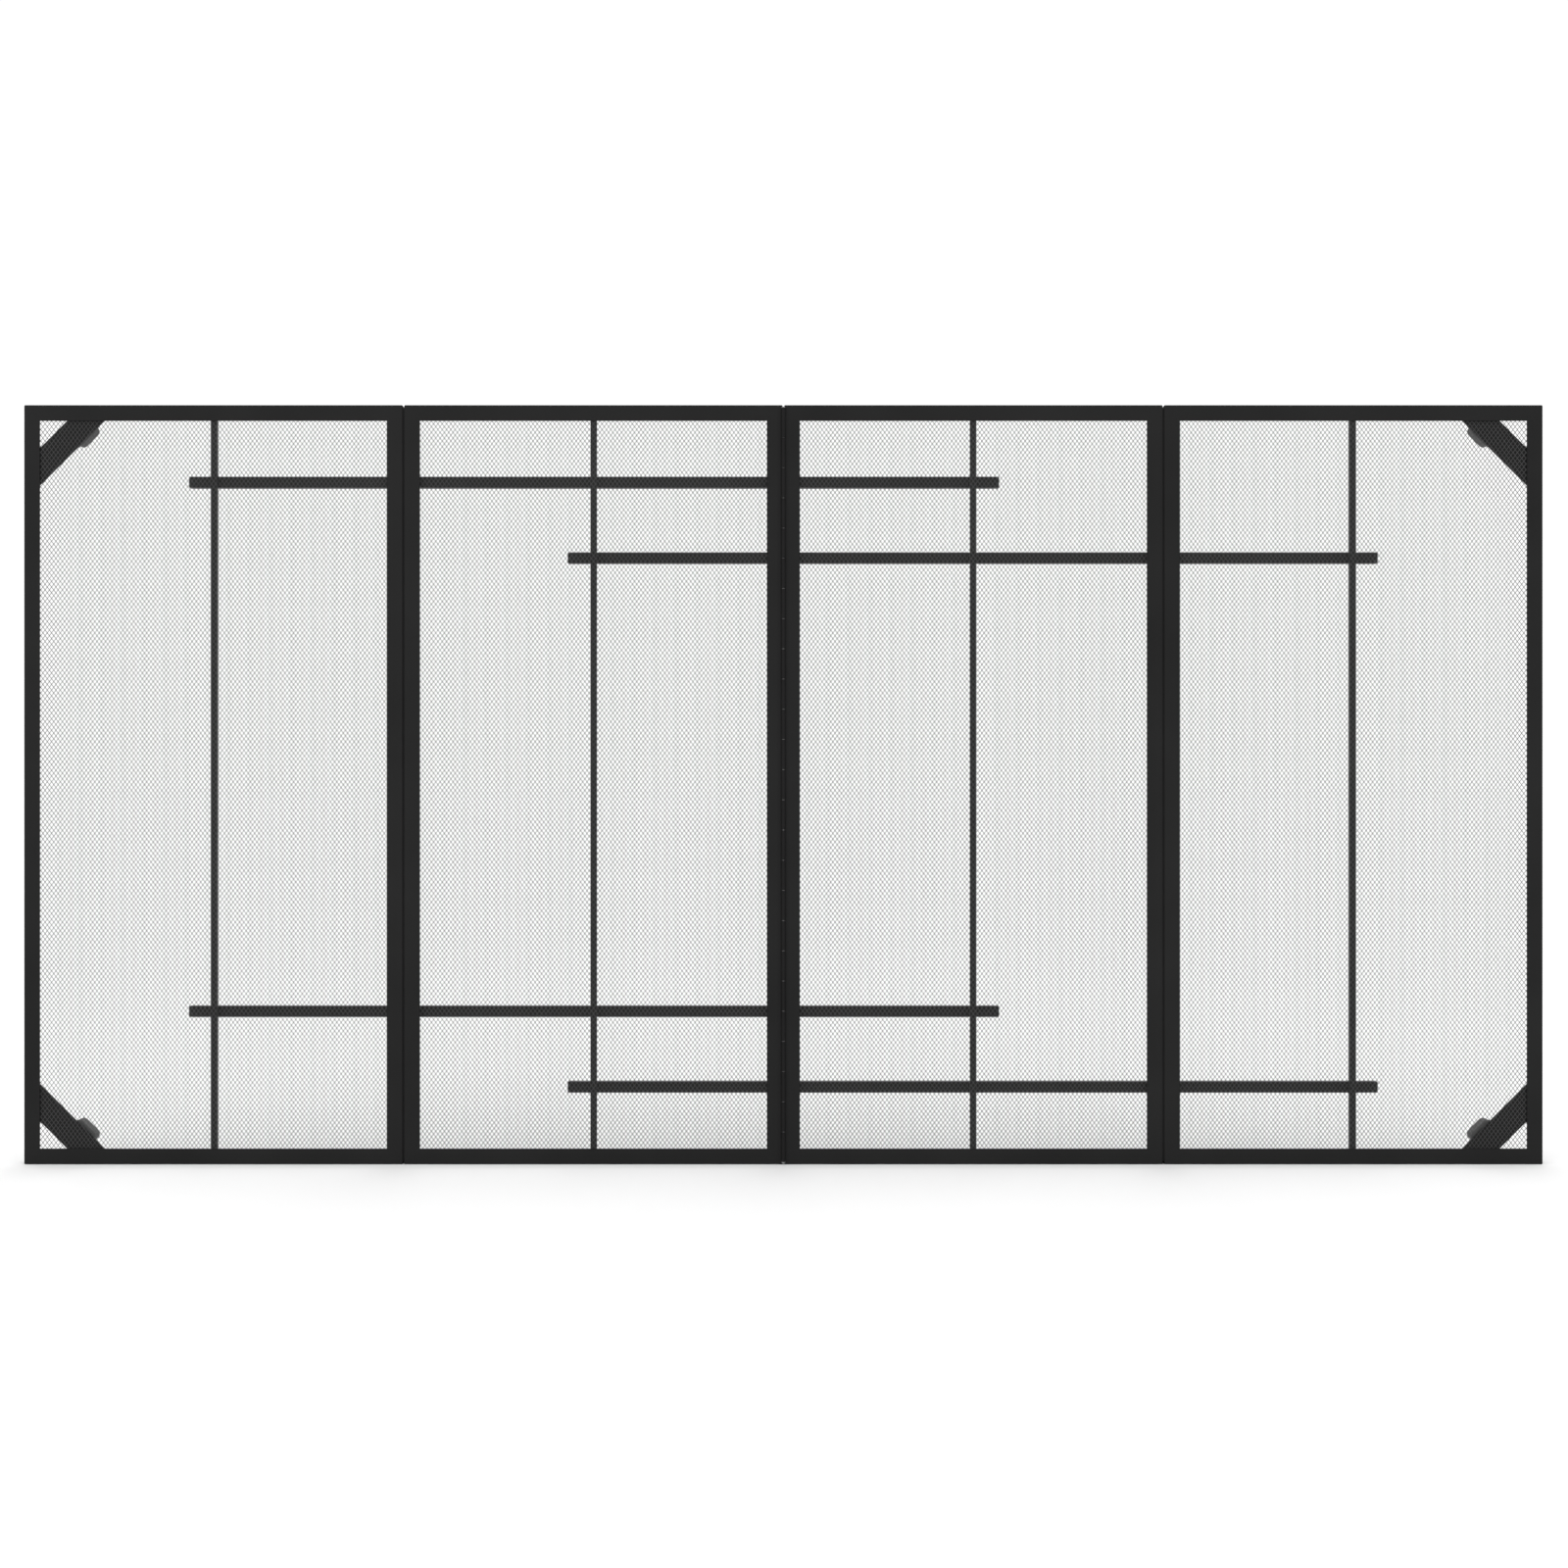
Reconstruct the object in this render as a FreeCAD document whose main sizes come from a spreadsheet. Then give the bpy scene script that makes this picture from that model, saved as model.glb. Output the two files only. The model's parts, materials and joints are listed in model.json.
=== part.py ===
"""Folding four-panel fireplace screen, in millimetres.

The screen stands on the plane Z = 0 and is centred on X = 0 and Y = 0. X runs along its width,
-Y is its front and +Z is up. It is drawn flat, with all four panels in line.

Each panel is a mitred frame of rolled steel channel. The channel has a wide flange at the front,
a web around the outside and a narrow lip at the back. From front to back a panel holds the mesh,
an upright centre bar, and level cross bars whose free ends stop just past the centre bar. The two
outer panels also have 45 degree corner braces. A rubber buffer is screwed to the back of each brace
and stands a little proud of the frame's back.

Continuous hinges join the panels. Hinges 1 and 3 have their barrels at the back and hinge 2 at the
front, so the screen folds up like an accordion. The barrels stand further out than the buffers do.
"""
import FreeCAD, Part
import os
import Sketcher
from FreeCAD import Placement, Rotation, Vector

DRIVING_SIZES = {
    # whole screen
    "screen_width": 1500.0,
    "screen_height": 750.0,
    "panel_gap": 1.4,
    # frame channel
    "frame_depth": 18.0,
    "frame_face": 15.6,
    "frame_lip": 8.0,
    "sheet_metal": 1.2,
    "frame_rounding": 1.2,
    # mesh
    "mesh_thickness": 0.5,
    "mesh_tuck": 8.0,
    # bars
    "centre_bar_width": 6.1,
    "centre_bar_depth": 5.8,
    "cross_bar_height": 10.8,
    "cross_bar_depth": 9.3,
    "cross_bar_overhang": 26.2,
    "bar_rounding": 0.5,
    "outer_row_inset": 75.0,
    "inner_row_inset": 150.0,
    # corner braces and their buffers
    "brace_width": 25.4,
    "brace_thickness": 3.0,
    "brace_corner_reach": 57.5,
    "buffer_length": 25.6,
    "buffer_seat": 12.0,
    "buffer_top_nose": 0.2,
    "buffer_bottom_nose": 3.3,
    "buffer_proud": 2.0,
    "buffer_corner": 5.5,
    "buffer_rounding": 2.0,
    "buffer_top_reach": 61.4,
    "buffer_bottom_reach": 59.5,
    "screw_radius": 1.5,
    "screw_head_radius": 2.9,
    "screw_head_height": 2.0,
    "screw_hex_across": 2.0,
    "screw_hex_depth": 1.2,
    "screw_bite": 2.4,
    "screw_well_radius": 3.4,
    "screw_well_depth": 4.0,
    "screw_edge_distance": 6.0,
    # continuous hinges
    "leaf_thickness": 0.6,
    "leaf_width": 17.0,
    "leaf_end_gap": 3.0,
    "barrel_radius": 1.9,
    "barrel_bore_radius": 1.3,
    "barrel_standoff": 2.2,
    "knuckle_relief": 0.25,
    "knuckle_gap": 0.3,
    "pin_radius": 1.25,
    "pin_head_radius": 1.8,
    "pin_head_height": 0.8,
}
PANELS = 4
KNUCKLES = 25
MITRE_MARGIN = 1.0

LEFT, RIGHT = "left", "right"
TOP, BOTTOM = "top", "bottom"

# Rows of cross bars: where each is measured from, and how far its centre line is from that edge.
CROSS_BAR_ROWS = {
    "low": (BOTTOM, "outer_row_inset"),
    "lower": (BOTTOM, "inner_row_inset"),
    "upper": (TOP, "inner_row_inset"),
    "high": (TOP, "outer_row_inset"),
}
# The high and lower rows run from panel 1 to panel 3, and the upper and low rows from 2 to 4.
CROSS_BAR_SPANS = {
    1: {"high": "free_left", "lower": "free_left"},
    2: {"high": "full", "lower": "full", "upper": "free_left", "low": "free_left"},
    3: {"high": "free_right", "lower": "free_right", "upper": "full", "low": "full"},
    4: {"upper": "free_right", "low": "free_right"},
}
BRACED_SIDES = {1: LEFT, PANELS: RIGHT}
BARREL_AT_FRONT = {1: False, 2: True, 3: False}

doc = FreeCAD.newDocument("fireplace_screen")
sheet = doc.addObject("Spreadsheet::Sheet", "Sizes")
for row, (alias, value) in enumerate(DRIVING_SIZES.items(), start=1):
    sheet.set(f"A{row}", alias.replace("_", " "))
    sheet.set(f"B{row}", str(value))
    sheet.setAlias(f"B{row}", alias)
doc.recompute()

sub_parts = []


class Length:
    """A length held as a number and as the sheet expression that gives it."""

    def __init__(self, number, text):
        self.number = number
        self.text = text

    def __add__(self, other):
        other = length(other)
        return Length(self.number + other.number, f"({self.text} + {other.text})")

    def __sub__(self, other):
        other = length(other)
        return Length(self.number - other.number, f"({self.text} - {other.text})")

    def __mul__(self, factor):
        return Length(self.number * factor, f"({self.text} * {factor})")

    def __truediv__(self, divisor):
        return Length(self.number / divisor, f"({self.text} / {divisor})")

    def __neg__(self):
        return self * -1


def length(value):
    """A Length from a sheet alias, a plain number or a Length."""
    if isinstance(value, Length):
        return value
    if isinstance(value, str):
        return Length(float(sheet.get(value)), f"Sizes.{value}")
    return Length(float(value), f"({float(value)})")


def bind(thing, sizes):
    """Drive each named property of a document object from the sheet."""
    for name, value in sizes.items():
        thing.setExpression(name, length(value).text)


def bind_position(thing, x=0, y=0, z=0):
    bind(thing, {"Placement.Base.x": x, "Placement.Base.y": y, "Placement.Base.z": z})


def keep(thing, label):
    """Name a finished sub-part and put it on the list to export."""
    thing.Label = label
    sub_parts.append(thing)
    return thing


# ---------------------------------------------------------------- shared building blocks

def box(name, low, high):
    """A block from its low corner to its high corner."""
    block = doc.addObject("Part::Box", name)
    spans = [length(far) - length(near) for near, far in zip(low, high)]
    bind(block, dict(zip(("Length", "Width", "Height"), spans)))
    bind_position(block, *low)
    return block


def origin_feature(body, role):
    return next(item for item in body.Origin.OriginFeatures if item.Role == role)


def new_sketch(body, name, plane):
    sketch = body.newObject("Sketcher::SketchObject", name)
    sketch.AttachmentSupport = [(origin_feature(body, plane), "")]
    sketch.MapMode = "FlatFace"
    return sketch


def pin_point(sketch, item, point, across, up):
    """Fix one point of a sketch at its driven distances from the sketch origin."""
    for kind, axis, value in (("DistanceX", -2, across), ("DistanceY", -1, up)):
        if abs(value.number) < 1e-9:
            sketch.addConstraint(Sketcher.Constraint("PointOnObject", item, point, axis))
        else:
            rule = Sketcher.Constraint(kind, -1, 1, item, point, value.number)
            index = sketch.addConstraint(rule)
            sketch.setExpression(f"Constraints[{index}]", value.text)


def polygon_sketch(body, name, plane, corners):
    """A closed outline of straight lines through driven corners."""
    sketch = new_sketch(body, name, plane)
    corners = [(length(across), length(up)) for across, up in corners]
    count = len(corners)
    for index, (across, up) in enumerate(corners):
        next_across, next_up = corners[(index + 1) % count]
        start = Vector(across.number, up.number, 0)
        end = Vector(next_across.number, next_up.number, 0)
        sketch.addGeometry(Part.LineSegment(start, end), False)
    for index, (across, up) in enumerate(corners):
        following = (index + 1) % count
        sketch.addConstraint(Sketcher.Constraint("Coincident", index, 2, following, 1))
        pin_point(sketch, index, 1, across, up)
    return sketch


def ring_sketch(body, name, plane, radii, centre=(0, 0)):
    """Circles about one driven centre."""
    sketch = new_sketch(body, name, plane)
    across, up = (length(place) for place in centre)
    for index, radius in enumerate(radii):
        radius = length(radius)
        circle = Part.Circle(Vector(across.number, up.number, 0), Vector(0, 0, 1), radius.number)
        sketch.addGeometry(circle, False)
        pin_point(sketch, index, 3, across, up)
        rule = sketch.addConstraint(Sketcher.Constraint("Radius", index, radius.number))
        sketch.setExpression(f"Constraints[{rule}]", radius.text)
    return sketch


def rectangle(across_low, across_high, up_low, up_high):
    return [
        (across_low, up_low), (across_high, up_low),
        (across_high, up_high), (across_low, up_high),
    ]


def pad(body, name, sketch, thickness, reverse=False):
    feature = body.newObject("PartDesign::Pad", name)
    feature.Profile = sketch
    feature.Reversed = reverse
    bind(feature, {"Length": thickness})
    return feature


def pocket(body, name, sketch, depth, reverse=False):
    feature = body.newObject("PartDesign::Pocket", name)
    feature.Profile = sketch
    feature.Reversed = reverse
    bind(feature, {"Length": depth})
    return feature


def round_edges(body, name, feature, radius, chosen):
    """Fillet the edges of a feature that the chosen test picks."""
    doc.recompute()
    edges = [f"Edge{i}" for i, edge in enumerate(feature.Shape.Edges, start=1) if chosen(edge)]
    fillet = body.newObject("PartDesign::Fillet", name)
    fillet.Base = (feature, edges)
    bind(fillet, {"Radius": radius})
    return fillet


def edge_along(axis):
    """A test for edges that run along one direction."""
    def chosen(edge):
        return abs(abs(edge.tangentAt(edge.FirstParameter).dot(axis)) - 1) < 1e-6
    return chosen


# ---------------------------------------------------------------- places shared by the parts

gap = length("panel_gap")
panel_height = length("screen_height")
panel_width = (length("screen_width") - gap * (PANELS - 1)) / PANELS
front_y = -length("frame_depth") / 2
back_y = length("frame_depth") / 2
metal = length("sheet_metal")
mesh_y = front_y + metal
centre_bar_y = mesh_y + "mesh_thickness"
cross_bar_y = centre_bar_y + "centre_bar_depth"
brace_y = centre_bar_y
buffer_y = brace_y + "brace_thickness"
buffer_depth = back_y + "buffer_proud" - buffer_y


def panel_left(panel):
    return (panel_width + gap) * (panel - 1) - length("screen_width") / 2


def panel_centre(panel):
    return panel_left(panel) + panel_width / 2


def panel_right(panel):
    return panel_left(panel) + panel_width


def seam_x(hinge):
    """The middle of the gap to the right of the panel with the hinge's number."""
    return panel_right(hinge) + gap / 2


# ---------------------------------------------------------------- frame channels

def frame_ring():
    """One whole panel frame, its front lower left corner at the origin, before it is mitred."""
    depth = length("frame_depth")
    block = box("frame_block", (0, 0, 0), (panel_width, depth, panel_height))
    doc.recompute()
    rounded = doc.addObject("Part::Fillet", "frame_rounded")
    rounded.Base = block
    radius = length("frame_rounding").number
    rounded.Edges = [(index, radius, radius) for index in range(1, len(block.Shape.Edges) + 1)]

    def inset_box(name, inset, near, far):
        inset = length(inset)
        low = (inset, near, inset)
        high = (panel_width - inset, far, panel_height - inset)
        return box(name, low, high)

    hollow = doc.addObject("Part::MultiFuse", "frame_hollow")
    hollow.Shapes = [
        inset_box("front_opening", "frame_face", length(-MITRE_MARGIN), metal * 2),
        inset_box("channel_inside", metal, metal, depth - metal),
        inset_box("back_opening", "frame_lip", depth - metal * 2, depth + MITRE_MARGIN),
    ]
    ring = doc.addObject("Part::Cut", "frame_ring")
    ring.Base = rounded
    ring.Tool = hollow
    return ring


def mitre_wedge(name, run, quarter_turns, corner_x, corner_z):
    """A prism whose ends slope in at 45 degrees, around one side of the frame ring."""
    reach = length("frame_face") + MITRE_MARGIN
    run = length(run)
    wedge = doc.addObject("Part::Wedge", name)
    bind(wedge, {
        "Xmin": -MITRE_MARGIN, "Xmax": run + MITRE_MARGIN,
        "X2min": reach, "X2max": run - reach,
        "Ymin": -MITRE_MARGIN, "Ymax": reach,
        "Zmin": -length("frame_depth") - MITRE_MARGIN, "Zmax": MITRE_MARGIN,
        "Z2min": -length("frame_depth") - MITRE_MARGIN, "Z2max": MITRE_MARGIN,
    })
    lie_in_panel = Rotation(Vector(1, 0, 0), 90)
    turn = Rotation(Vector(0, 1, 0), -90 * quarter_turns)
    wedge.Placement = Placement(Vector(0, 0, 0), turn.multiply(lie_in_panel))
    bind_position(wedge, x=corner_x, z=corner_z)
    return wedge


def make_frames():
    ring = frame_ring()
    wedges = {
        "bottom_rail": mitre_wedge("mitre_bottom", panel_width, 0, 0, 0),
        "right_stile": mitre_wedge("mitre_right", panel_height, 1, panel_width, 0),
        "top_rail": mitre_wedge("mitre_top", panel_width, 2, panel_width, panel_height),
        "left_stile": mitre_wedge("mitre_left", panel_height, 3, 0, panel_height),
    }
    for panel in range(1, PANELS + 1):
        for side, wedge in wedges.items():
            member = doc.addObject("Part::Common", f"frame_{panel}_{side}")
            member.Base = ring
            member.Tool = wedge
            bind_position(member, x=panel_left(panel), y=front_y)
            keep(member, f"panel_{panel}_{side}")


# ---------------------------------------------------------------- mesh and bars

def make_mesh(panel):
    """The mesh as a plain sheet, its edges tucked behind the front flange."""
    inset = length("frame_face") - "mesh_tuck"
    low = (panel_left(panel) + inset, mesh_y, inset)
    high = (panel_right(panel) - inset, mesh_y + "mesh_thickness", panel_height - inset)
    keep(box(f"mesh_{panel}", low, high), f"panel_{panel}_mesh")


def bar(label, left, right, bottom, top, front, depth, along):
    """A straight bar with its long edges slightly rounded."""
    body = doc.addObject("PartDesign::Body", f"{label}_body")
    outline = polygon_sketch(body, f"{label}_outline", "XZ_Plane", rectangle(left, right, bottom, top))
    solid = pad(body, f"{label}_pad", outline, depth, reverse=True)
    round_edges(body, f"{label}_rounding", solid, "bar_rounding", edge_along(along))
    bind_position(body, y=front)
    keep(body, label)


def make_centre_bar(panel):
    half = length("centre_bar_width") / 2
    middle = panel_centre(panel)
    bar(
        f"panel_{panel}_centre_bar", middle - half, middle + half, metal, panel_height - metal,
        centre_bar_y, "centre_bar_depth", Vector(0, 0, 1),
    )


def make_cross_bars(panel):
    half = length("cross_bar_height") / 2
    overhang = length("cross_bar_overhang")
    for row, span in CROSS_BAR_SPANS[panel].items():
        edge, inset = CROSS_BAR_ROWS[row]
        middle = length(inset) if edge == BOTTOM else panel_height - inset
        left = panel_left(panel) + metal
        right = panel_right(panel) - metal
        if span == "free_left":
            left = panel_centre(panel) - overhang
        if span == "free_right":
            right = panel_centre(panel) + overhang
        bar(
            f"panel_{panel}_{row}_cross_bar", left, right, middle - half, middle + half,
            cross_bar_y, "cross_bar_depth", Vector(1, 0, 0),
        )


# ---------------------------------------------------------------- corner braces and buffers

def from_corner(panel, side, level, across, up):
    """A point at distances across and up from one outer corner of a panel."""
    x = panel_left(panel) + across if side == LEFT else panel_right(panel) - across
    z = length(up) if level == BOTTOM else panel_height - up
    return x, z


def brace_inner_reach():
    """How far along the frame's outer edge the brace's inner edge would meet it."""
    return length("brace_corner_reach") + length("brace_width") * 2 ** 0.5


def buffer_middle(level):
    """How far across and up from the corner the middle of a buffer meets its brace's inner edge."""
    across = length(f"buffer_{level}_reach")
    return across, brace_inner_reach() - across


def place_on_brace(body, panel, side, level, y):
    """Move a piece from its own frame to the brace's inner edge.

    In its own frame X runs along the brace, Y points away from it and Z runs to the back.
    """
    toward_x = 1 if side == LEFT else -1
    toward_z = 1 if level == BOTTOM else -1
    outward = Vector(toward_x, 0, toward_z).normalize()
    backward = Vector(0, 1, 0)
    along = outward.cross(backward)
    body.Placement = Placement(Vector(0, 0, 0), Rotation(along, outward, backward, "ZXY"))
    x, z = from_corner(panel, side, level, *buffer_middle(level))
    bind_position(body, x=x, y=y, z=z)


def make_brace(panel, side, level):
    """A flat bar across a corner at 45 degrees, its ends cut to fit against the channel webs.

    A blind hole in its back takes the buffer's screw.
    """
    label = f"brace_{level}_{side}"
    outer = length("brace_corner_reach")
    inner = brace_inner_reach()
    ends = [(metal, outer - metal), (outer - metal, metal), (inner - metal, metal), (metal, inner - metal)]
    body = doc.addObject("PartDesign::Body", f"{label}_body")
    corners = [from_corner(panel, side, level, across, up) for across, up in ends]
    outline = polygon_sketch(body, f"{label}_outline", "XZ_Plane", corners)
    pad(body, f"{label}_pad", outline, "brace_thickness", reverse=True)

    across, up = buffer_middle(level)
    step_back = length("screw_edge_distance") / 2 ** 0.5
    hole_centre = from_corner(panel, side, level, across - step_back, up - step_back)
    hole_outline = ring_sketch(
        body, f"{label}_hole_outline", "XZ_Plane", ["screw_radius"], hole_centre)
    hole_bottom = length("brace_thickness") - "screw_bite"
    bind(hole_outline, {"AttachmentOffset.Base.z": -hole_bottom})
    pocket(body, f"{label}_hole", hole_outline, "screw_bite")
    bind_position(body, y=brace_y)
    keep(body, label)


def make_buffer(panel, side, level):
    """A rounded rubber block on the back of a brace, with a stepped hole for its screw."""
    label = f"buffer_{level}_{side}"
    half = length("buffer_length") / 2
    nose = length(f"buffer_{level}_nose")
    body = doc.addObject("PartDesign::Body", f"{label}_body")
    edges = rectangle(-half, half, -length("buffer_seat"), nose)
    outline = polygon_sketch(body, f"{label}_outline", "XY_Plane", edges)
    block = pad(body, f"{label}_pad", outline, buffer_depth)
    block = round_edges(body, f"{label}_corners", block, "buffer_corner", edge_along(Vector(0, 0, 1)))

    def at_either_end(edge):
        return min(abs(edge.CenterOfMass.z), abs(edge.CenterOfMass.z - buffer_depth.number)) < 1e-6

    round_edges(body, f"{label}_rounding", block, "buffer_rounding", at_either_end)
    screw_line = (0, -length("screw_edge_distance"))
    clearance = ring_sketch(body, f"{label}_bore_outline", "XY_Plane", ["screw_radius"], screw_line)
    pocket(body, f"{label}_bore", clearance, buffer_depth, reverse=True)
    well = ring_sketch(body, f"{label}_well_outline", "XY_Plane", ["screw_well_radius"], screw_line)
    bind(well, {"AttachmentOffset.Base.z": buffer_depth - "screw_well_depth"})
    pocket(body, f"{label}_well", well, "screw_well_depth", reverse=True)
    place_on_brace(body, panel, side, level, buffer_y)
    keep(body, label)


def make_buffer_screw(panel, side, level):
    """A cap screw with a hexagon socket, which holds the buffer to the brace."""
    label = f"buffer_screw_{level}_{side}"
    body = doc.addObject("PartDesign::Body", f"{label}_body")
    screw_line = (0, -length("screw_edge_distance"))
    head_seat = buffer_depth - "screw_well_depth"
    shank_outline = ring_sketch(body, f"{label}_shank_outline", "XY_Plane", ["screw_radius"], screw_line)
    bind(shank_outline, {"AttachmentOffset.Base.z": -length("screw_bite")})
    pad(body, f"{label}_shank", shank_outline, head_seat + "screw_bite")
    head_outline = ring_sketch(body, f"{label}_head_outline", "XY_Plane", ["screw_head_radius"], screw_line)
    bind(head_outline, {"AttachmentOffset.Base.z": head_seat})
    pad(body, f"{label}_head", head_outline, "screw_head_height")

    corner = length("screw_hex_across") / 3 ** 0.5
    middle = -length("screw_edge_distance")
    half_across = length("screw_hex_across") / 2
    hexagon = [
        (corner, middle), (corner / 2, middle + half_across), (-corner / 2, middle + half_across),
        (-corner, middle), (-corner / 2, middle - half_across), (corner / 2, middle - half_across),
    ]
    socket_outline = polygon_sketch(body, f"{label}_socket_outline", "XY_Plane", hexagon)
    socket_bottom = head_seat + "screw_head_height" - "screw_hex_depth"
    bind(socket_outline, {"AttachmentOffset.Base.z": socket_bottom})
    pocket(body, f"{label}_socket", socket_outline, "screw_hex_depth", reverse=True)
    place_on_brace(body, panel, side, level, buffer_y)
    keep(body, label)


# ---------------------------------------------------------------- continuous hinges

leaf_length = panel_height - length("leaf_end_gap") * 2
knuckle_pitch = leaf_length / KNUCKLES
leaf_inner_face = gap / 2 - "leaf_thickness"
leaf_outer_face = gap / 2
relief_radius = length("barrel_radius") + "knuckle_relief"
barrel_wall_middle = (length("barrel_radius") + "barrel_bore_radius") / 2


def place_on_seam(body, hinge):
    """Move a hinge piece from its own frame, pin along Z and barrel at +Y, to its seam."""
    if BARREL_AT_FRONT[hinge]:
        body.Placement = Placement(Vector(0, 0, 0), Rotation(Vector(0, 0, 1), 180))
        y = front_y - "barrel_standoff"
    else:
        y = back_y + "barrel_standoff"
    bind_position(body, x=seam_x(hinge), y=y, z="leaf_end_gap")


def leaf_section(side, low, high):
    """The corners of a stretch of leaf on one side of the seam, from low to high along Y."""
    inner, outer = leaf_inner_face, leaf_outer_face
    return rectangle(-outer, -inner, low, high) if side == LEFT else rectangle(inner, outer, low, high)


def make_leaf(hinge, side):
    """A hinge leaf: a plate against the channel web, with rolled knuckles around the pin."""
    label = f"hinge_{hinge}_leaf_{side}"
    mirrored = {LEFT: RIGHT, RIGHT: LEFT}[side]
    own_side = mirrored if BARREL_AT_FRONT[hinge] else side
    first, count = (0, (KNUCKLES + 1) // 2) if side == LEFT else (1, KNUCKLES // 2)
    body = doc.addObject("PartDesign::Body", f"{label}_body")

    plate_low = -length("barrel_standoff") - "leaf_width"
    plate_outline = polygon_sketch(
        body, f"{label}_plate_outline", "XY_Plane", leaf_section(own_side, plate_low, -relief_radius))
    pad(body, f"{label}_plate", plate_outline, leaf_length)

    knuckle_start = knuckle_pitch * first + length("knuckle_gap") / 2
    knuckle_length = knuckle_pitch - "knuckle_gap"
    outlines = {
        "web": polygon_sketch(
            body, f"{label}_web_outline", "XY_Plane",
            leaf_section(own_side, -relief_radius, -barrel_wall_middle)),
        "ring": ring_sketch(
            body, f"{label}_ring_outline", "XY_Plane", ["barrel_radius", "barrel_bore_radius"]),
    }
    knuckle = []
    for piece, outline in outlines.items():
        bind(outline, {"AttachmentOffset.Base.z": knuckle_start})
        knuckle.append(pad(body, f"{label}_{piece}", outline, knuckle_length))
    doc.recompute()

    row = body.newObject("PartDesign::LinearPattern", f"{label}_knuckles")
    row.Originals = knuckle
    row.Direction = (origin_feature(body, "Z_Axis"), [""])
    row.Occurrences = count
    bind(row, {"Length": knuckle_pitch * (2 * (count - 1))})
    body.Tip = row
    place_on_seam(body, hinge)
    keep(body, label)


def make_pin(hinge):
    """The hinge pin, with a flat head peened on each end."""
    label = f"hinge_{hinge}_pin"
    head = length("pin_head_height")
    half_profile = [
        (0, -head), ("pin_head_radius", -head), ("pin_head_radius", 0), ("pin_radius", 0),
        ("pin_radius", leaf_length), ("pin_head_radius", leaf_length),
        ("pin_head_radius", leaf_length + head), (0, leaf_length + head),
    ]
    body = doc.addObject("PartDesign::Body", f"{label}_body")
    outline = polygon_sketch(body, f"{label}_outline", "XZ_Plane", half_profile)
    turned = body.newObject("PartDesign::Revolution", f"{label}_turned")
    turned.Profile = outline
    turned.ReferenceAxis = (outline, ["V_Axis"])
    turned.Angle = 360
    place_on_seam(body, hinge)
    keep(body, label)


# ---------------------------------------------------------------- the whole screen

def make_screen():
    make_frames()
    for panel in range(1, PANELS + 1):
        make_mesh(panel)
        make_centre_bar(panel)
        make_cross_bars(panel)
    for panel, side in BRACED_SIDES.items():
        for level in (BOTTOM, TOP):
            make_brace(panel, side, level)
            make_buffer(panel, side, level)
            make_buffer_screw(panel, side, level)
    for hinge in BARREL_AT_FRONT:
        for side in (LEFT, RIGHT):
            make_leaf(hinge, side)
        make_pin(hinge)


def check_model():
    """Stop if any object failed to compute or any sub-part is not one sound solid."""
    for item in doc.Objects:
        if "Invalid" in item.State or "Error" in item.State:
            raise RuntimeError(f"{item.Label} did not compute: {item.State}")
    for item in sub_parts:
        shape = item.Shape
        if shape.isNull() or not shape.isValid() or len(shape.Solids) != 1:
            raise RuntimeError(f"{item.Label} is not one valid solid")


def export_parts():
    os.makedirs("parts", exist_ok=True)
    for item in sub_parts:
        item.Shape.exportStep(os.path.join("parts", f"{item.Label}.step"))
        print(f"{item.Label:32s} {item.Shape.Volume:12.1f} mm3")


make_screen()
doc.recompute()
check_model()
export_parts()
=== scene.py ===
"""A folding fireplace screen of four black steel panels with fine diamond mesh, in metres.

The CAD model gives every piece of the frames, bars, braces, buffers and hinges. This script gives
them their finishes, lays the real mesh in place of the plain sheets, and adds the welds.
X runs along the screen, -Y is its front and Z is up.
"""
import json
import math
import random

import bmesh
import bpy
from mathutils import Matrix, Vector


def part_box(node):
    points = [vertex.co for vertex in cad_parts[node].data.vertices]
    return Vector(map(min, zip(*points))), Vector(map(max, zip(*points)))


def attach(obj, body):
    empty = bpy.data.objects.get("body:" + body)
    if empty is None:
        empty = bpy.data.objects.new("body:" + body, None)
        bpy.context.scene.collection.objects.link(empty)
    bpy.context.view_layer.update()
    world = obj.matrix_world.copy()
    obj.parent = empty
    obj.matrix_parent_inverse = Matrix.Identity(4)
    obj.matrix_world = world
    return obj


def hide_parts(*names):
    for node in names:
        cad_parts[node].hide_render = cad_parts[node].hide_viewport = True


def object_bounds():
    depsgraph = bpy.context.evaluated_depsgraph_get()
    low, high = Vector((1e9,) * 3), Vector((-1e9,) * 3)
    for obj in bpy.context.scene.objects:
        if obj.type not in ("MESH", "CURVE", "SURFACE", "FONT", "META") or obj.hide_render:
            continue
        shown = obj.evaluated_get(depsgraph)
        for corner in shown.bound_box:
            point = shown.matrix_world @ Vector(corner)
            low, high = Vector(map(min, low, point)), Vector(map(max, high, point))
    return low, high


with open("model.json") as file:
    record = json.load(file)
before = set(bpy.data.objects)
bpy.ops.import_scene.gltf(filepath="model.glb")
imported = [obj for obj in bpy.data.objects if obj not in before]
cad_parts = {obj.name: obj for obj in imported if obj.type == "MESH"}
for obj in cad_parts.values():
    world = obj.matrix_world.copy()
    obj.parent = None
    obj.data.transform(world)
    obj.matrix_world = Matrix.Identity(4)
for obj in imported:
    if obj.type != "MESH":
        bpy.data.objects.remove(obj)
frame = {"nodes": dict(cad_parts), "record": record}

cad_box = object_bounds()
LOW, HIGH = cad_box
CENTRE = (LOW + HIGH) / 2
MM = 0.001
PANELS = (1, 2, 3, 4)

# ------------------------------------------------------------------ camera

CAMERA_DISTANCE = 1.9
VIEW_TO_SCREEN_WIDTH = 1.0322
AIM_RIGHT = 0.6 * MM
AIM_UP = 0.7 * MM


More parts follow.
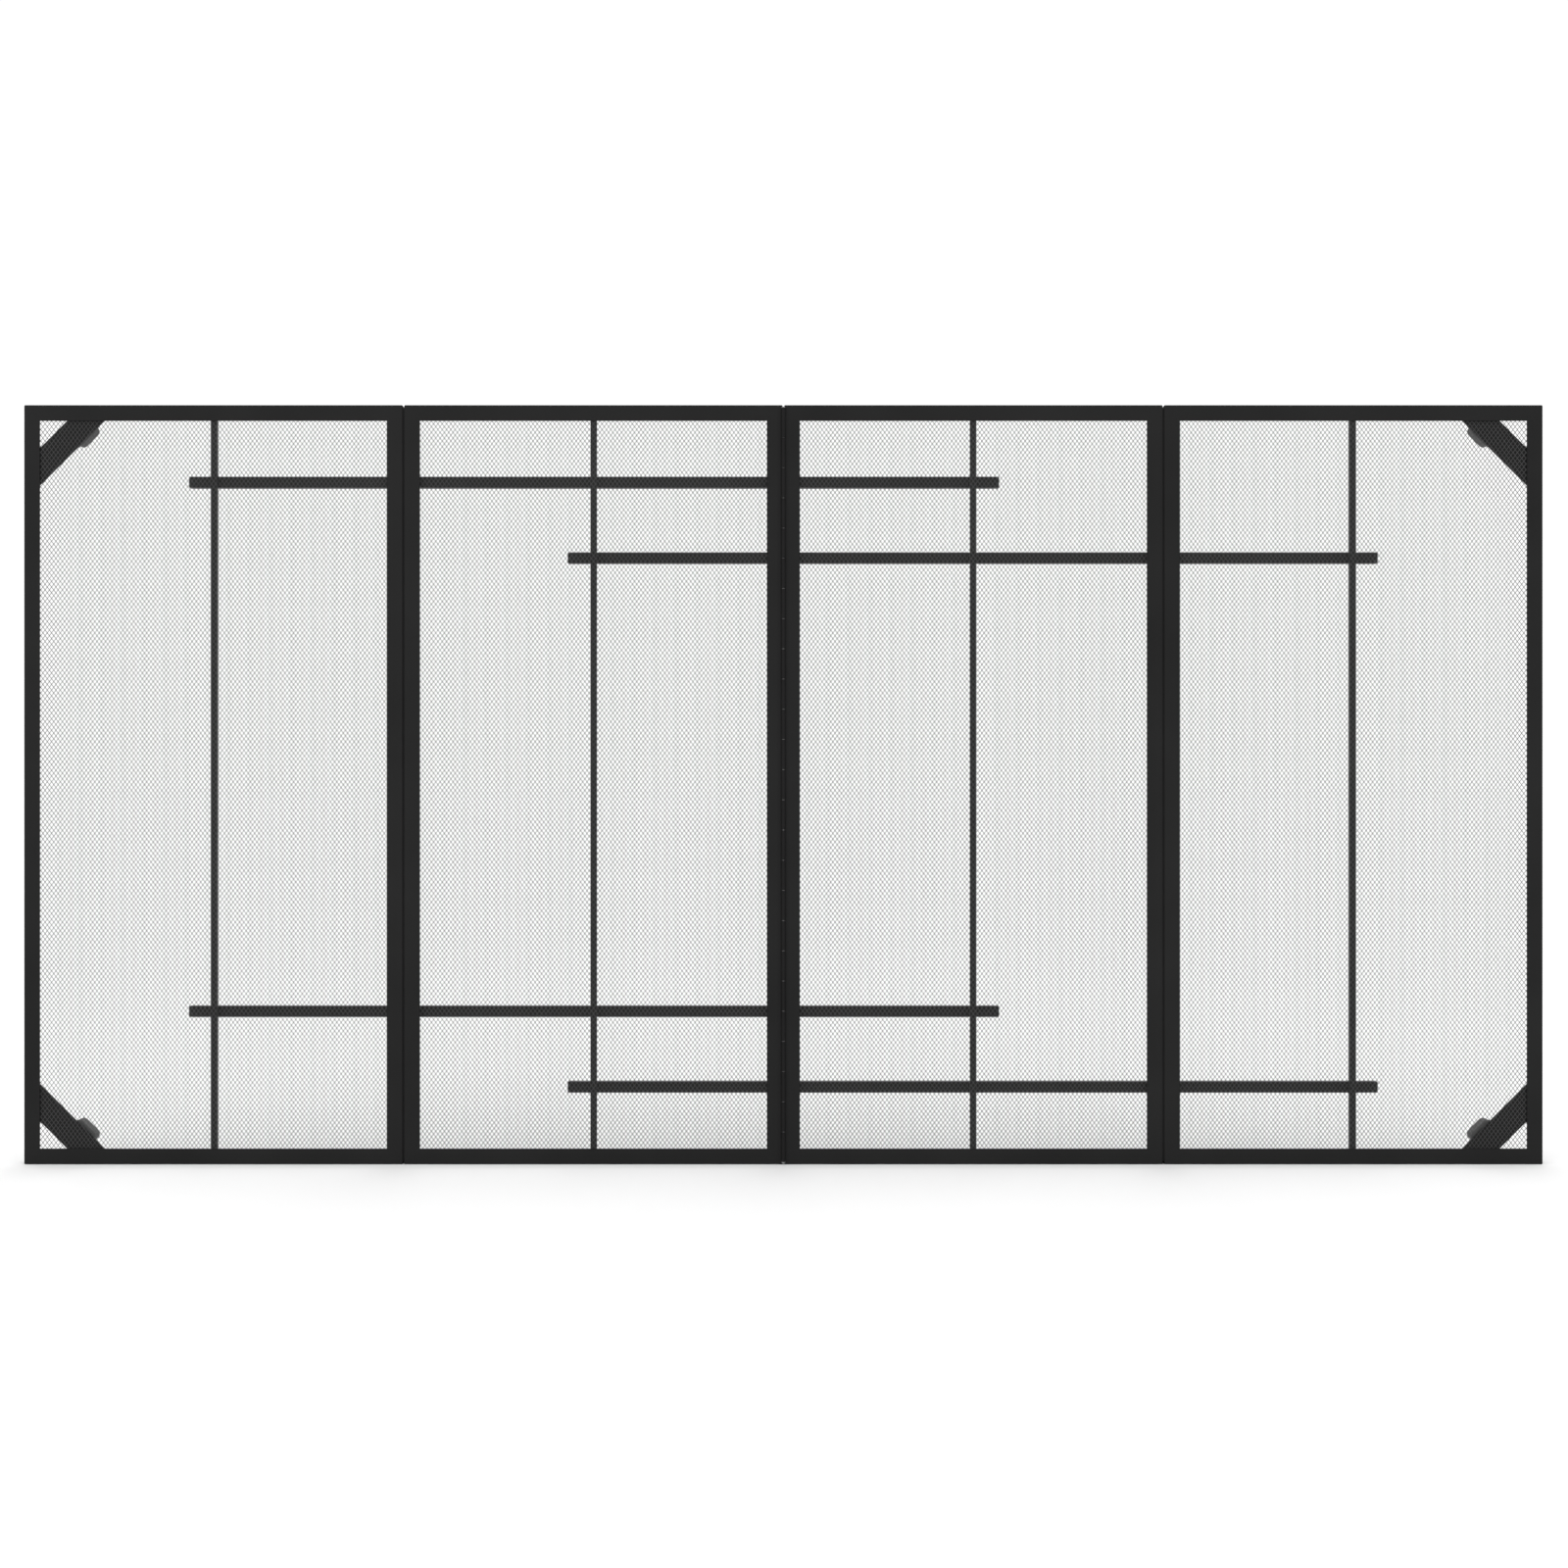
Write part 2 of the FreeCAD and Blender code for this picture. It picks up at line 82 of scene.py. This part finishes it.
def make_camera():
    """A level camera square to the screen's front, aimed to put the screen where the photo has it."""
    data = bpy.data.cameras.new("camera")
    view_width = (HIGH.x - LOW.x) * VIEW_TO_SCREEN_WIDTH
    data.lens = data.sensor_width * CAMERA_DISTANCE / view_width
    camera = bpy.data.objects.new("camera", data)
    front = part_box("panel_2_left_stile")[0].y
    camera.location = (CENTRE.x + AIM_RIGHT, front - CAMERA_DISTANCE, CENTRE.z + AIM_UP)
    camera.rotation_euler = (math.radians(90), 0, 0)
    bpy.context.scene.collection.objects.link(camera)
    bpy.context.scene.camera = camera


# ------------------------------------------------------------------ stage and light

FLOOR_SIZE = 400.0
BACKGROUND_LIGHT = 1.04
OVERHEAD_SIZE = (3.0, 1.2)
OVERHEAD_FORWARD = 0.45
OVERHEAD_HEIGHT = 2.2
OVERHEAD_POWER = 10.0


def make_floor():
    """A pale floor that runs on past the edges of the picture."""
    bpy.ops.mesh.primitive_plane_add(size=FLOOR_SIZE, location=(0, 0, 0))
    floor = bpy.context.object
    floor.name = "floor"
    paper = Shader("pale_floor", roughness=0.9, specular=0.1)
    paper.mottle(paper.noise(scale=0.8, detail=2), grey(0.862), grey(0.874))
    floor.data.materials.append(paper.material)


def make_world():
    """An even white background, which also gives most of the light."""
    world = bpy.data.worlds.new("studio")
    world.use_nodes = True
    background = world.node_tree.nodes["Background"]
    background.inputs["Color"].default_value = (1, 1, 1, 1)
    background.inputs["Strength"].default_value = BACKGROUND_LIGHT
    bpy.context.scene.world = world


def make_soft_light(name, direction, spread, strength):
    """An even light from far away; spread is the angle that it seems to fill, in degrees."""
    data = bpy.data.lights.new(name, "SUN")
    data.angle = math.radians(spread)
    data.energy = strength
    light = bpy.data.objects.new(name, data)
    light.location = CENTRE + Vector(direction)
    light.rotation_euler = (-Vector(direction)).to_track_quat("-Z", "Y").to_euler()
    bpy.context.scene.collection.objects.link(light)


def make_overhead_light():
    """A wide light above and a little in front, which keeps the floor at the screen's foot pale."""
    data = bpy.data.lights.new("overhead", "AREA")
    data.shape = "RECTANGLE"
    data.size, data.size_y = OVERHEAD_SIZE
    data.energy = OVERHEAD_POWER
    light = bpy.data.objects.new("overhead", data)
    light.location = (CENTRE.x, CENTRE.y - OVERHEAD_FORWARD, OVERHEAD_HEIGHT)
    bpy.context.scene.collection.objects.link(light)


def make_lights():
    make_world()
    make_overhead_light()
    make_soft_light("key", (-2.4, -3.2, 2.0), spread=40, strength=0.4)
    make_soft_light("fill", (2.8, -3.0, 1.6), spread=50, strength=0.25)
    make_soft_light("back", (0.5, 3.0, 2.6), spread=40, strength=0.35)


# ------------------------------------------------------------------ materials

# Most of a noise texture's values lie in this range.
NOISE_RANGE = (0.3, 0.7)


class Shader:
    """A procedural material, built up by short calls."""

    def __init__(self, name, roughness, specular=0.5, metallic=0.0):
        self.material = bpy.data.materials.new(name)
        self.material.use_nodes = True
        self.nodes = self.material.node_tree.nodes
        self.links = self.material.node_tree.links
        self.surface = self.nodes["Principled BSDF"]
        self.surface.inputs["Roughness"].default_value = roughness
        self.surface.inputs["Specular IOR Level"].default_value = specular
        self.surface.inputs["Metallic"].default_value = metallic
        self.place = self.nodes.new("ShaderNodeTexCoord").outputs["Object"]

    def stretched(self, x, y, z):
        """The surface's place, scaled differently along each axis."""
        mapping = self.nodes.new("ShaderNodeMapping")
        mapping.inputs["Scale"].default_value = (x, y, z)
        self.links.new(self.place, mapping.inputs["Vector"])
        return mapping.outputs["Vector"]

    def noise(self, scale, detail, place=None):
        """Soft random tone, with features of about 1 / scale metres."""
        node = self.nodes.new("ShaderNodeTexNoise")
        node.inputs["Scale"].default_value = scale
        node.inputs["Detail"].default_value = detail
        self.links.new(place or self.place, node.inputs["Vector"])
        return node.outputs["Fac"]

    def mottle(self, value, low, high):
        """Colours the surface by a noise, from low to high."""
        node = self.nodes.new("ShaderNodeValToRGB")
        for element, position, colour in zip(node.color_ramp.elements, NOISE_RANGE, (low, high)):
            element.position = position
            element.color = (*colour, 1)
        self.links.new(value, node.inputs["Fac"])
        self.links.new(node.outputs["Color"], self.surface.inputs["Base Color"])

    def roughen(self, value, low, high):
        """Varies the surface's roughness by a noise, from low to high."""
        node = self.nodes.new("ShaderNodeMapRange")
        node.inputs["From Min"].default_value, node.inputs["From Max"].default_value = NOISE_RANGE
        node.inputs["To Min"].default_value = low
        node.inputs["To Max"].default_value = high
        self.links.new(value, node.inputs["Value"])
        self.links.new(node.outputs["Result"], self.surface.inputs["Roughness"])

    def bump(self, height, depth):
        """Gives the surface a fine relief, depth metres deep."""
        node = self.nodes.new("ShaderNodeBump")
        node.inputs["Distance"].default_value = depth
        self.links.new(height, node.inputs["Height"])
        self.links.new(node.outputs["Normal"], self.surface.inputs["Normal"])


def grey(value):
    return (value, value, value)


def powder_coat(name, tone, roughness, specular):
    """Black powder coat: a fine orange peel, with faint dust and handling marks."""
    darkest, palest = 0.85 * tone, 1.2 * tone
    unevenness = 0.06
    coat = Shader(name, roughness, specular)
    coat.mottle(coat.noise(scale=9, detail=4), grey(darkest), grey(palest))
    coat.roughen(coat.noise(scale=60, detail=5), roughness - unevenness, roughness + unevenness)
    coat.bump(coat.noise(scale=900, detail=2), depth=0.02 * MM)
    return coat.material


def wire_paint():
    """Thin black paint on fine wire, which shines along each strand."""
    paint = Shader("mesh_paint", roughness=0.4, specular=0.5)
    paint.mottle(paint.noise(scale=14, detail=4), grey(0.030), grey(0.042))
    paint.roughen(paint.noise(scale=200, detail=3), 0.33, 0.47)
    paint.bump(paint.noise(scale=2500, detail=2), depth=0.01 * MM)
    return paint.material


def moulded_rubber():
    """Grey moulded rubber with a matt, very fine grain and a little bloom."""
    rubber = Shader("buffer_rubber", roughness=0.6, specular=0.4)
    rubber.mottle(rubber.noise(scale=120, detail=5), grey(0.046), grey(0.058))
    rubber.roughen(rubber.noise(scale=400, detail=3), 0.52, 0.7)
    rubber.bump(rubber.noise(scale=3000, detail=3), depth=0.03 * MM)
    return rubber.material


def drawn_steel():
    """Plain drawn steel with fine lines along its length and a few dull patches."""
    steel = Shader("pin_steel", roughness=0.35, specular=0.5, metallic=1.0)
    lines = steel.noise(scale=1, detail=4, place=steel.stretched(4000, 4000, 60))
    steel.mottle(lines, grey(0.30), grey(0.42))
    steel.roughen(steel.noise(scale=90, detail=5), 0.28, 0.5)
    steel.bump(lines, depth=0.01 * MM)
    return steel.material


def zinc_plate():
    """Zinc plate, dull and slightly blue, with a fine spangle."""
    zinc = Shader("screw_steel", roughness=0.4, specular=0.5, metallic=1.0)
    spangle = zinc.noise(scale=700, detail=5)
    zinc.mottle(spangle, (0.36, 0.37, 0.39), (0.50, 0.51, 0.53))
    zinc.roughen(zinc.noise(scale=500, detail=4), 0.3, 0.5)
    zinc.bump(spangle, depth=0.01 * MM)
    return zinc.material


def paint_cad_nodes():
    """Gives each CAD node its finish by its material slot in the record, and returns the finishes."""
    finishes = {
        "frame_steel": powder_coat("frame_coat", tone=0.0098, roughness=0.45, specular=0.12),
        "bar_steel": powder_coat("bar_coat", tone=0.0135, roughness=0.47, specular=0.13),
        "brace_steel": powder_coat("brace_coat", tone=0.0070, roughness=0.55, specular=0.12),
        "hinge_steel": powder_coat("hinge_paint", tone=0.0070, roughness=0.42, specular=0.11),
        "mesh_steel": wire_paint(),
        "pin_steel": drawn_steel(),
        "screw_steel": zinc_plate(),
        "buffer_rubber": moulded_rubber(),
    }
    for part in frame["record"]["subparts"]:
        slots = frame["nodes"][part["node"]].data.materials
        slots.clear()
        slots.append(finishes[part["material_slot"]])
    return finishes


# ------------------------------------------------------------------ pieces made of many small solids

class Solids:
    """Closed tubes gathered into one piece."""

    def __init__(self):
        self.points = []
        self.faces = []

    def tube(self, rings):
        """Adds a tube through rings with the same number of points each, closed at both ends."""
        first = len(self.points)
        count = len(rings[0])
        for points in rings:
            self.points.extend(points)
        for start in range(first, first + count * (len(rings) - 1), count):
            for index in range(count):
                following = (index + 1) % count
                self.faces.append((
                    start + index, start + following, start + count + following, start + count + index))
        last = len(self.points) - count
        self.faces.append(tuple(range(first, first + count)))
        self.faces.append(tuple(range(last, last + count)))

    def piece(self, name, body, slot, finish, smooth=False):
        """Makes the tubes into one mesh object that rides on the body."""
        data = bpy.data.meshes.new(name)
        shape = bmesh.new()
        corners = [shape.verts.new(point) for point in self.points]
        for face in self.faces:
            shape.faces.new([corners[index] for index in face]).smooth = smooth
        bmesh.ops.recalc_face_normals(shape, faces=shape.faces)
        shape.to_mesh(data)
        shape.free()
        data.materials.append(finish)
        piece = bpy.data.objects.new(name, data)
        bpy.context.scene.collection.objects.link(piece)
        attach(piece, body)
        return piece


# ------------------------------------------------------------------ mesh

CELL_WIDTH = 4.27 * MM
CELL_HEIGHT = 5.66 * MM
STRAND_WIDTH = 0.53 * MM
STRAND_THICKNESS = 0.25 * MM
# The strand's cross-section is a flattened hexagon, in shares of half its width and thickness.
STRAND_SECTION = [(1, 0), (0.6, 1), (-0.6, 1), (-1, 0), (-0.6, -1), (0.6, -1)]
SHORTEST_STRAND = CELL_WIDTH / 4


def clip_line(point, direction, low, high):
    """The stretch of a line inside a rectangle in X and Z, or None."""
    start, end = -math.inf, math.inf
    for axis in (0, 2):
        near = (low[axis] - point[axis]) / direction[axis]
        far = (high[axis] - point[axis]) / direction[axis]
        start = max(start, min(near, far))
        end = min(end, max(near, far))
    return (point + direction * start, point + direction * end) if end > start else None


def strand_ring(point, across):
    """The strand's cross-section around a point on its middle line."""
    return [
        point + across * (wide * STRAND_WIDTH / 2) + Vector((0, thick * STRAND_THICKNESS / 2, 0))
        for wide, thick in STRAND_SECTION
    ]


def make_mesh(panel, finish):
    """The panel's diamond mesh: two layers of straight strands that cross and touch."""
    sheet = f"panel_{panel}_mesh"
    low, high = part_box(sheet)
    middle = (low + high) / 2
    margin = Vector((STRAND_WIDTH, 0, STRAND_WIDTH))
    diagonal = math.hypot(CELL_WIDTH, CELL_HEIGHT)
    pitch = CELL_WIDTH * CELL_HEIGHT / diagonal
    half_layer = (high.y - low.y) / 2 - STRAND_THICKNESS / 2
    reach = int((high - low).length / 2 / pitch) + 1
    strands = Solids()
    for slope, layer in ((1, -half_layer), (-1, half_layer)):
        along = Vector((CELL_WIDTH, 0, slope * CELL_HEIGHT)) / diagonal
        across = Vector((-along.z, 0, along.x))
        for index in range(-reach, reach + 1):
            point = middle + across * (index * pitch) + Vector((0, layer, 0))
            stretch = clip_line(point, along, low + margin, high - margin)
            if stretch and (stretch[1] - stretch[0]).length > SHORTEST_STRAND:
                strands.tube([strand_ring(end, across) for end in stretch])
    piece = strands.piece(f"panel_{panel}_diamond_mesh", f"panel_{panel}", "mesh_steel", finish)
    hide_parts(sheet)


# ------------------------------------------------------------------ welds

ROWS = ("high", "upper", "lower", "low")
LEVELS = ("bottom", "top")
SIDES = ("left", "right")
# Two sizes of the CAD model that its boxes don't show.
FRAME_LIP = 8.0 * MM
BRACE_WIDTH = 25.4 * MM
BEAD_RADIUS = 1.1 * MM
BEAD_RIPPLE = 1.3 * MM
BEAD_INSET = 0.4 * MM
BEAD_VARIATION = (0.95, 1.05)
RIPPLE_DEPTH = 0.14
RINGS_PER_RIPPLE = 5
RING_POINTS = 10
# A bead keeps its full radius over most of its length, and loses this share of it at each end.
END_TAPER = 0.6
TAPER_POWER = 6
TACK_RADIUS = 1.7 * MM
TACK_HEIGHT = 0.55 * MM
TACK_VARIATION = (0.88, 1.1)
# A tack's dome, in shares of its radius and height. It starts a little inside the mesh.
TACK_PROFILE = [(1.0, -0.3), (1.0, 0.0), (0.85, 0.55), (0.5, 0.9), (0.12, 1.0)]
TACK_INSET = 11.8 * MM
TACK_SPACING = 45.0 * MM
TACKS_UP_STILE = 13
TACKS_ALONG_RAIL = 5


def ring(centre, side, other, radius):
    """A circle of points in the plane of two directions at right angles."""
    turns = [2 * math.pi * index / RING_POINTS for index in range(RING_POINTS)]
    return [centre + (side * math.cos(turn) + other * math.sin(turn)) * radius for turn in turns]


def add_bead(welds, start, end, chance):
    """A rippled weld bead along an inside corner, thinner at both ends."""
    along = end - start
    side = along.orthogonal().normalized()
    other = along.cross(side).normalized()
    steps = max(RINGS_PER_RIPPLE, round(along.length / BEAD_RIPPLE * RINGS_PER_RIPPLE))
    rings = []
    for step in range(steps + 1):
        share = step / steps
        crest = abs(math.sin(math.pi * along.length * share / BEAD_RIPPLE))
        ripple = 1 - RIPPLE_DEPTH + RIPPLE_DEPTH * crest
        taper = 1 - END_TAPER * abs(2 * share - 1) ** TAPER_POWER
        radius = BEAD_RADIUS * ripple * taper * chance.uniform(*BEAD_VARIATION)
        rings.append(ring(start + along * share, side, other, radius))
    welds.tube(rings)


def add_tack(welds, place, chance):
    """A low round dome on the back of the mesh, where it is spot welded to the flange."""
    radius = TACK_RADIUS * chance.uniform(*TACK_VARIATION)
    rings = []
    for wide, tall in TACK_PROFILE:
        centre = place + Vector((0, tall * TACK_HEIGHT, 0))
        rings.append(ring(centre, Vector((1, 0, 0)), Vector((0, 0, 1)), radius * wide))
    welds.tube(rings)


def add_bar_welds(welds, panel, chance):
    """Beads where each cross bar meets the upright and the stiles, and at the upright's ends."""
    upright_low, upright_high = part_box(f"panel_{panel}_centre_bar")
    left = upright_low.x + BEAD_INSET
    right = upright_high.x - BEAD_INSET
    for z in (upright_low.z, upright_high.z):
        add_bead(welds, Vector((left, upright_high.y, z)), Vector((right, upright_high.y, z)), chance)
    for row in ROWS:
        bar = f"panel_{panel}_{row}_cross_bar"
        if bar not in frame["nodes"]:
            continue
        low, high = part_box(bar)
        for z in (low.z, high.z):
            add_bead(welds, Vector((left, low.y, z)), Vector((right, low.y, z)), chance)
        for side in SIDES:
            stile_low, stile_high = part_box(f"panel_{panel}_{side}_stile")
            lip_edge = stile_low.x + FRAME_LIP if side == "left" else stile_high.x - FRAME_LIP
            if low.x < lip_edge < high.x:
                bottom = Vector((lip_edge, high.y, low.z + BEAD_INSET))
                top = Vector((lip_edge, high.y, high.z - BEAD_INSET))
                add_bead(welds, bottom, top, chance)


def add_brace_welds(welds, side, chance):
    """Beads across both ends of each brace on one side, against the frame's web."""
    cut = BRACE_WIDTH * math.sqrt(2)
    for level in LEVELS:
        low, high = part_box(f"brace_{level}_{side}")
        web_x, far_x = (low.x, high.x) if side == "left" else (high.x, low.x)
        web_z, far_z = (low.z, high.z) if level == "bottom" else (high.z, low.z)
        toward_web_x = math.copysign(cut, web_x - far_x)
        toward_web_z = math.copysign(cut, web_z - far_z)
        on_stile = Vector((web_x, high.y, far_z))
        on_rail = Vector((far_x, high.y, web_z))
        add_bead(welds, on_stile, on_stile + Vector((0, 0, toward_web_z)), chance)
        add_bead(welds, on_rail, on_rail + Vector((toward_web_x, 0, 0)), chance)


def add_tacks(welds, panel, chance):
    """Spot welds around the mesh, evenly spaced, with none at the upright's two ends."""
    low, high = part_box(f"panel_{panel}_left_stile")[0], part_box(f"panel_{panel}_right_stile")[1]
    middle = (low + high) / 2
    mesh_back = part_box(f"panel_{panel}_mesh")[1].y
    for index in range(TACKS_UP_STILE):
        z = middle.z + TACK_SPACING * (index - (TACKS_UP_STILE - 1) / 2)
        for x in (low.x + TACK_INSET, high.x - TACK_INSET):
            add_tack(welds, Vector((x, mesh_back, z)), chance)
    for index in range(TACKS_ALONG_RAIL):
        x = middle.x + TACK_SPACING * (index - (TACKS_ALONG_RAIL - 1) / 2)
        if abs(x - middle.x) < TACK_SPACING / 2:
            continue
        for z in (low.z + TACK_INSET, high.z - TACK_INSET):
            add_tack(welds, Vector((x, mesh_back, z)), chance)


def make_welds(panel, finish):
    """All of one panel's weld metal, coated along with its frame."""
    chance = random.Random(panel)
    welds = Solids()
    add_bar_welds(welds, panel, chance)
    add_tacks(welds, panel, chance)
    braced_side = {PANELS[0]: "left", PANELS[-1]: "right"}.get(panel)
    if braced_side:
        add_brace_welds(welds, braced_side, chance)
    welds.piece(f"panel_{panel}_welds", f"panel_{panel}", "frame_steel", finish, smooth=True)


# ------------------------------------------------------------------ everything


bpy.context.scene.view_settings.view_transform = "Standard"
make_camera()
make_floor()
make_lights()
finishes = paint_cad_nodes()
for panel in PANELS:
    make_mesh(panel, finishes["mesh_steel"])
    make_welds(panel, finishes["frame_steel"])
